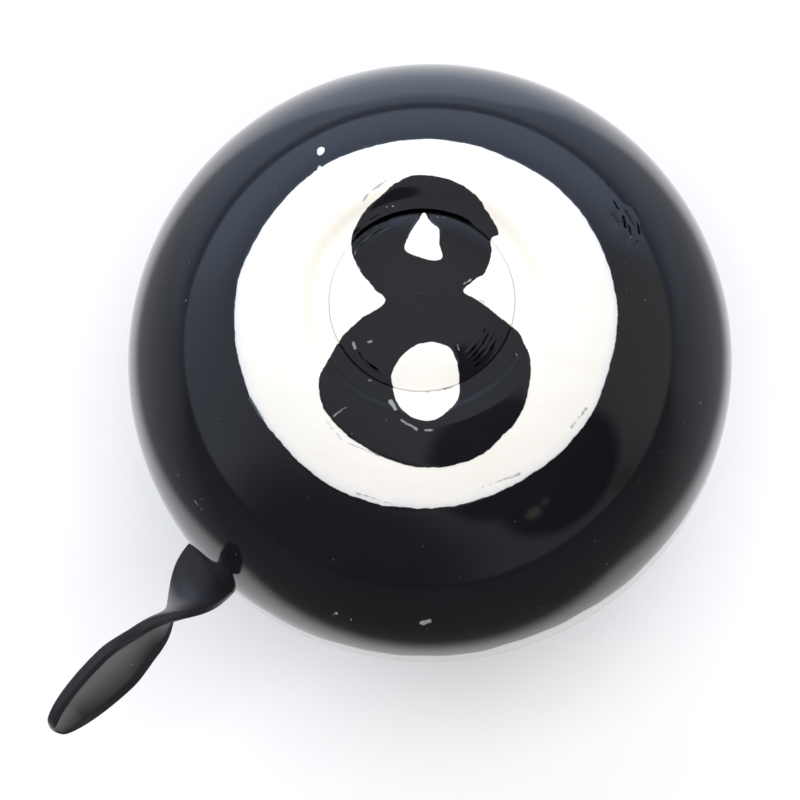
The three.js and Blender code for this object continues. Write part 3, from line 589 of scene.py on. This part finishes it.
def blade_section(s):
    """The outline across the blade: across it, and through it from its middle."""
    half, half_t = blade_half(s), STRIP_T / 2
    grow = smooth(s, FLAT_END + 5, FLAT_END + 13)
    dish = 0.95 * grow * min(1, (TIP - s) / 4)
    lip = 0.32 * grow * min(1, (TIP - s) / 1.5 + 0.3)
    v = np.sin(np.linspace(-math.pi / 2, math.pi / 2, 41))
    bowl = dish * np.maximum(0, np.cos(v * math.pi / 2)) ** 0.8
    face = -half_t + bowl * smooth(-np.abs(v), -0.97, -0.82)
    face = face - lip * np.exp(-((np.abs(v) - 0.94) / 0.055) ** 2)
    rear = half_t + bowl * 0.85 - lip * 0.3 * smooth(np.abs(v), 0.85, 1.0)
    c = min(0.45, half * 0.4)
    across = v * (half - c)
    return np.concatenate([
        np.stack([across, face], 1), *round_edge(1, half, c, face[-1], rear[-1]),
        np.stack([across[::-1], rear[::-1]], 1), *round_edge(-1, half, c, rear[0], face[0])])


def blade_ring(s):
    """The section in place: turned by the twist, leaning off the pivot's radius."""
    loop = blade_section(s)
    turn = math.radians(TWIST) * smooth(s, FLAT_END, FLAT_END + 14)
    shift = -LEAN + smooth(s, FLAT_END, FLAT_END + 10)
    thin = max(0.3, math.sqrt(1 - (1 - min(1, (TIP - s) / 0.8)) ** 2))
    wide = np.array([*(ASIDE * math.cos(turn)), math.sin(turn)])
    deep = np.array([*(-ASIDE * math.sin(turn)), math.cos(turn)])
    middle = np.array([*(PIVOT + AHEAD * s + ASIDE * shift), LEVER_Z + STRIP_T / 2])
    return middle + np.outer(loop[:, 0], wide) + np.outer(loop[:, 1] * thin, deep)


def blade_mesh(steps=170):
    start = FLAT_END - 0.5
    rings = np.array([blade_ring(start + (TIP - start) * (1 - (1 - g) ** 1.5))
                      for g in np.linspace(0, 1, steps)])
    count = rings.shape[1]
    co = np.concatenate([rings.reshape(-1, 3), [rings[0].mean(0)], [rings[-1].mean(0)]])
    faces = ring_faces(steps, count, False).tolist()
    last = (steps - 1) * count
    for q in range(count):
        faces.append((steps * count, (q + 1) % count, q))
        faces.append((steps * count + 1, last + q, last + (q + 1) % count))
    mesh = bpy.data.meshes.new("lever_blade")
    mesh.from_pydata((co * MM).tolist(), [], faces)
    return mesh


def fine_lever(material):
    """The CAD hub and sector, with a finer, round-edged blade from the strip to the pad's tip."""
    mesh = bmesh.new()
    mesh.from_mesh(nodes["thumb_lever"].data)
    bmesh.ops.remove_doubles(mesh, verts=mesh.verts, dist=1e-6)
    cut = bmesh.ops.bisect_plane(
        mesh, geom=mesh.verts[:] + mesh.edges[:] + mesh.faces[:], dist=1e-7,
        plane_co=(*((PIVOT + AHEAD * (FLAT_END - 0.45)) * MM), LEVER_Z * MM),
        plane_no=(*AHEAD, 0), clear_outer=True)
    rim = [e for e in cut["geom_cut"] if isinstance(e, bmesh.types.BMEdge)]
    bmesh.ops.holes_fill(mesh, edges=rim)
    hub_faces = len(mesh.faces)
    mesh.from_mesh(blade_mesh())
    mesh.faces.ensure_lookup_table()
    blade_verts = list({w for face in mesh.faces[hub_faces:] for w in face.verts})
    bmesh.ops.remove_doubles(mesh, verts=blade_verts, dist=1e-7)
    bmesh.ops.recalc_face_normals(mesh, faces=mesh.faces)
    fine = bpy.data.meshes.new("lever_fine")
    mesh.to_mesh(fine)
    mesh.free()
    obj = place("thumb_lever_fine", fine, material)
    fine.set_sharp_from_angle(angle=math.radians(40))
    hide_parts("thumb_lever")
    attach(obj, "lever")


# ---------------------------------------------------------------- other materials
def metal(name, colour, tone, rough, grain=(1, 1, 1), marks=0.15, metallic=1.0):
    s = Shader(name)
    cloud = s.noise(55, 3, 0.55)
    brushed = s.noise(420, 3, 0.6, stretch=grain)
    s.set(Base_Color=s.mix(cloud, colour, tone), Metallic=metallic,
          Roughness=s.math("ADD", rough, s.math("MULTIPLY", brushed, marks)))
    s.set(Normal=s.bump(s.math("ADD", brushed, s.math("MULTIPLY", cloud, 0.4)), 0.18, 0.00006))
    return s.mat


def plastic(name, colour, tone, rough, bump=0.15):
    s = Shader(name)
    cloud = s.noise(90, 3, 0.5)
    pores = s.noise(1100, 3, 0.6)
    s.set(Base_Color=s.mix(cloud, colour, tone),
          Roughness=s.math("ADD", rough, s.math("MULTIPLY", pores, 0.15)))
    s.set(Normal=s.bump(pores, bump, 0.0001))
    return s.mat


def lever_enamel():
    s = Shader("lever_enamel")
    cloud = s.noise(80, 3, 0.5)
    peel = s.noise(260, 2, 0.45)
    dust = s.specks(600, 0.12, 1.7)
    colour = s.mix(cloud, (0.012, 0.012, 0.014), (0.020, 0.020, 0.023))
    s.set(Base_Color=s.mix(s.math("MULTIPLY", dust, 0.4), colour, (0.3, 0.3, 0.3)),
          Roughness=s.blend(cloud, 0.30, 0.38))
    s.set(Normal=s.bump(s.math("ADD", peel, s.math("MULTIPLY", dust, 0.3)), 0.12, 0.00012))
    return s.mat


looks = {
    "steel": metal("plain_steel", (0.50, 0.51, 0.52), (0.62, 0.62, 0.63), 0.22, (1, 8, 1)),
    "zinc": metal("zinc_plate", (0.55, 0.57, 0.58), (0.70, 0.71, 0.70), 0.26, (1, 1, 1), 0.2),
    "brass": metal("turned_brass", (0.66, 0.50, 0.22), (0.78, 0.62, 0.32), 0.2, (1, 1, 14)),
    "nylon": plastic("natural_nylon", (0.80, 0.78, 0.70), (0.88, 0.86, 0.79), 0.38),
    "pressed_steel": metal("chromed_cup", (0.60, 0.61, 0.62), (0.72, 0.73, 0.74), 0.10, (3, 3, 1), 0.1),
    "clamp_metal": metal("chromed_clamp", (0.56, 0.57, 0.58), (0.68, 0.69, 0.70), 0.14, (6, 1, 1), 0.14),
    "rubber": plastic("black_rubber", (0.016, 0.016, 0.016), (0.03, 0.03, 0.03), 0.62, 0.4),
    "spring_steel": metal("spring_wire", (0.30, 0.31, 0.32), (0.42, 0.42, 0.43), 0.24, (1, 1, 6)),
    "enamel": lever_enamel(),
}
fine_lever(looks["enamel"])
slots = {p["node"]: p["material_slot"] for p in frame["record"]["subparts"]}
for name, obj in nodes.items():
    if obj.hide_render:
        continue
    obj.data.materials.clear()
    obj.data.materials.append(looks[slots[name]])
    obj.data.polygons.foreach_set("use_smooth", [True] * len(obj.data.polygons))
    obj.data.set_sharp_from_angle(angle=math.radians(32))

# ---------------------------------------------------------------- floor, light, camera
TILT, TURN = math.radians(14.5), math.radians(279.4)
back = Vector((math.sin(TILT) * math.cos(TURN), math.sin(TILT) * math.sin(TURN), math.cos(TILT)))
up = (Vector((0, 1, 0)) - back * back.y).normalized()
right = up.cross(back)
target = Vector((0, 0, 0.026)) + right * -0.00395 + up * -0.00512

camera = bpy.data.objects.new("camera", bpy.data.cameras.new("camera"))
bpy.context.collection.objects.link(camera)
camera.matrix_world = Matrix.Translation(target + back * 0.420) @ Matrix(
    (right, up, back)).transposed().to_4x4()
camera.data.sensor_width = 36
camera.data.lens = 141.7
camera.data.clip_start = 0.01
bpy.context.scene.camera = camera

floor_z = cad_box[0][2] - 0.0004
bpy.ops.mesh.primitive_plane_add(size=6, location=(0, 0, floor_z))
floor = bpy.context.object
floor.name = "floor"
s = Shader("pale_floor")
# A white sheet on a grey table; the sheet runs on beyond the crown. The table is darker towards the near
# side: painted shade.
spot = s.add("ShaderNodeSeparateXYZ")
s.link(s.coord, spot.inputs[0])
across = s.math("ABSOLUTE", s.math("ADD", spot.outputs["X"], 0.005))
sheet = s.math("MULTIPLY", s.step(across, 0.090, 0.066), s.step(spot.outputs["Y"], -0.082, -0.057))
sheet = s.math("MULTIPLY", sheet, s.step(spot.outputs["Y"], 0.40, 0.25))
paper = s.mix(s.noise(4, 2), (0.87, 0.868, 0.872), (0.885, 0.885, 0.89))
table = s.mix(s.step(spot.outputs["Y"], -0.11, 0.02), (0.10, 0.10, 0.10), (0.33, 0.335, 0.35))
# Painted window light: sheet and table turn bluish beyond the crown.
painted_window_light = s.step(spot.outputs["Y"], 0.075, 0.15)
table = s.mix(painted_window_light, table, (0.36, 0.42, 0.52))
paper = s.mix(painted_window_light, paper, (0.62, 0.72, 0.86))
s.set(Base_Color=s.mix(sheet, table, paper), Roughness=0.8)
floor.data.materials.append(s.mat)


def area(name, location, aim, size, power, colour=(1, 1, 1), glossy=True):
    light = bpy.data.lights.new(name, "AREA")
    light.shape = "RECTANGLE"
    light.size, light.size_y = size
    light.energy = power
    light.color = colour
    obj = bpy.data.objects.new(name, light)
    bpy.context.collection.objects.link(obj)
    obj.location = location
    obj.rotation_euler = (Vector(aim) - Vector(location)).to_track_quat("-Z", "Y").to_euler()
    obj.visible_glossy = glossy
    return obj


area("overhead", (0.08, -0.22, 0.9), (0, 0, 0), (0.9, 0.9), 8.6, (1.0, 0.972, 0.955), glossy=False)
area("window", (-0.12, 0.55, 0.30), (0, 0.08, 0), (0.6, 0.3), 2.2, (0.86, 0.93, 1.0), glossy=False)

# A dim room with one broad window beyond the crown and someone standing at the near side.
world = bpy.data.worlds.new("studio")
bpy.context.scene.world = world
world.use_nodes = True


class Sky(Shader):
    def __init__(self, tree):
        self.tree = tree
        self.way = self.add("ShaderNodeTexCoord").outputs["Generated"]
        parts = self.add("ShaderNodeSeparateXYZ")
        self.link(self.way, parts.inputs[0])
        self.z = parts.outputs["Z"]

    def lobe(self, azimuth, elevation, radius, soft):
        """1 towards a direction, fading to 0 round it; degrees."""
        az, el = math.radians(azimuth), math.radians(elevation)
        way = (math.cos(el) * math.cos(az), math.cos(el) * math.sin(az), math.sin(el))
        node = self.vector("DOT_PRODUCT", self.way, way)
        edge = [math.cos(math.radians(max(0.0, radius + k * soft))) for k in (1, -1)]
        return self.step(node.outputs["Value"], *edge)


sky = Sky(world.node_tree)
room = sky.mix(sky.step(sky.z, 0.30, 0.85), (0.34, 0.34, 0.36), (0.52, 0.52, 0.56))
low = sky.step(sky.z, 0.52, 0.12)
window = sky.math("MULTIPLY", low, sky.lobe(102, 0, 66, 20))
room = sky.mix(window, room, (0.88, 1.08, 1.45))
room = sky.mix(sky.math("MULTIPLY", sky.lobe(182, 5, 26, 14), 0.75), room, (0.60, 0.66, 0.80))
room = sky.mix(sky.lobe(5, 12, 22, 10), room, (0.50, 0.49, 0.47))
room = sky.mix(sky.lobe(246, 4, 34, 12), room, (0.10, 0.10, 0.11))
person = sky.math("MAXIMUM", sky.lobe(302, 46, 22, 3), sky.lobe(318, 26, 22, 2.5))
room = sky.mix(person, room, (0.012, 0.012, 0.012))
room = sky.mix(sky.lobe(304, 21, 2.2, 0.8), room, (0.62, 0.52, 0.34))
room = sky.mix(sky.lobe(309, 22.5, 1.0, 0.6), room, (0.62, 0.52, 0.34))
room = sky.mix(sky.lobe(331, 3, 4.0, 1.6), room, (0.26, 0.23, 0.17))
seen = sky.add("ShaderNodeLightPath").outputs["Is Camera Ray"]
sky.put(sky.tree.nodes["Background"].inputs[0], sky.mix(seen, room, (0.93, 0.935, 0.94)))
bpy.context.scene.view_settings.view_transform = "Standard"
bpy.context.scene.view_settings.look = "None"
